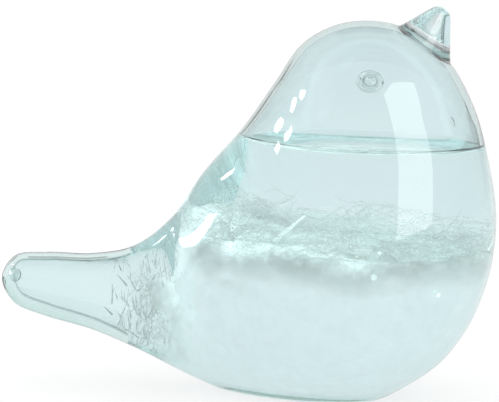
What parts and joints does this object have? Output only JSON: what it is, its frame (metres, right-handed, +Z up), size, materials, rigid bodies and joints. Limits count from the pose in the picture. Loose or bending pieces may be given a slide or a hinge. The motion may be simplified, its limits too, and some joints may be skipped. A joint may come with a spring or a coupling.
{
  "type": "storm glass",
  "caption": "Sealed blown-glass bird holding a clear storm liquid with settled feathery crystals, with a solid glass beak, glass eyes and a flat base to stand on.",
  "frame": {"origin": "centre of the flat base that the bird stands on", "axes": "+Z up, +X towards the beak and chest, the tail points to -X; -Y is the bird's right side, which faces the viewer of the picture"},
  "size_m": [0.1302, 0.0818, 0.1029],
  "materials": {
    "clear_glass": "fire polished, faintly blue green",
    "storm_liquid": "clear liquid",
    "settled_camphor": "cloudy white, waxy",
    "crystal_needles": "translucent white needles"
  },
  "bodies": {
    "root": {"glass_body": "clear_glass", "tail_seal": "clear_glass", "beak": "clear_glass", "right_eye": "clear_glass", "left_eye": "clear_glass", "crystal_bed": "settled_camphor", "tuft_near_back": "crystal_needles", "tuft_near_middle": "crystal_needles", "tuft_near_chest": "crystal_needles", "tuft_middle": "crystal_needles", "tuft_far_back": "crystal_needles", "tuft_far_middle": "crystal_needles", "tuft_far_chest": "crystal_needles", "tail_root_crystals": "crystal_needles", "long_needle": "crystal_needles", "curved_needle": "crystal_needles", "leaf_crystal": "crystal_needles", "storm_liquid": "storm_liquid"}
  },
  "joints": []
}
